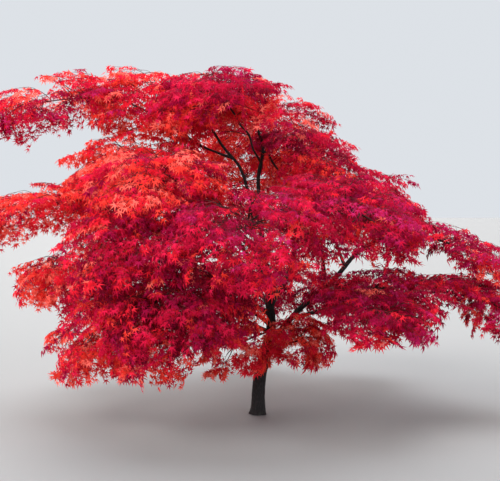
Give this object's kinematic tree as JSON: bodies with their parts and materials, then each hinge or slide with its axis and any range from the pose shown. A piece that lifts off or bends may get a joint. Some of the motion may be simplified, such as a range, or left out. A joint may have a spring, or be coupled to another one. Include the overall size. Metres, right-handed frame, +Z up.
{
  "type": "japanese maple tree",
  "caption": "Garden maple in red autumn leaf: a leaning trunk, arching boughs and layered, drooping masses of foliage.",
  "frame": {"origin": "middle of the flat cut under the trunk, at ground level", "axes": "+Z up, +X to the right as seen from the front, where the long low right bough shows, +Y to the back"},
  "size_m": [4.507, 3.8569, 2.7497],
  "materials": {
    "bark": "rough",
    "foliage": "satin"
  },
  "bodies": {
    "root": {"trunk": "bark", "leader": "bark", "right_bough": "bark", "left_leader": "bark", "far_left_branch": "bark", "top_right_branch": "bark", "top_front_branch": "bark", "top_back_branch": "bark", "right_shoulder_branch": "bark", "left_shoulder_branch": "bark", "mid_left_bough": "bark", "left_bough": "bark", "low_right_bough": "bark", "right_tip_branch": "bark", "right_inner_branch": "bark", "front_upper_bough": "bark", "front_right_branch": "bark", "front_bough": "bark", "front_left_bough": "bark", "front_low_right_branch": "bark", "front_low_left_bough": "bark", "bottom_left_bough": "bark", "bottom_front_branch": "bark", "back_left_bough": "bark", "back_bough": "bark", "back_right_bough": "bark", "back_low_left_branch": "bark", "back_low_bough": "bark", "back_low_right_branch": "bark", "foliage_crown_top": "foliage", "foliage_top_left": "foliage", "foliage_far_top_left": "foliage", "foliage_top_right": "foliage", "foliage_top_front": "foliage", "foliage_top_back": "foliage", "foliage_right_shoulder": "foliage", "foliage_right_outer": "foliage", "foliage_left_shoulder": "foliage", "foliage_mid_left": "foliage", "foliage_left_low": "foliage", "foliage_right_low": "foliage", "foliage_right_tip": "foliage", "foliage_right_inner": "foliage", "foliage_front_upper": "foliage", "foliage_front_right": "foliage", "foliage_front_centre": "foliage", "foliage_front_left": "foliage", "foliage_front_low_right": "foliage", "foliage_front_low_left": "foliage", "foliage_front_under": "foliage", "foliage_bottom_left": "foliage", "foliage_bottom_front_left": "foliage", "foliage_under_left": "foliage", "foliage_under_right": "foliage", "foliage_back_left": "foliage", "foliage_back_centre": "foliage", "foliage_back_right": "foliage", "foliage_back_low_left": "foliage", "foliage_back_low": "foliage", "foliage_back_low_right": "foliage"}
  },
  "joints": []
}
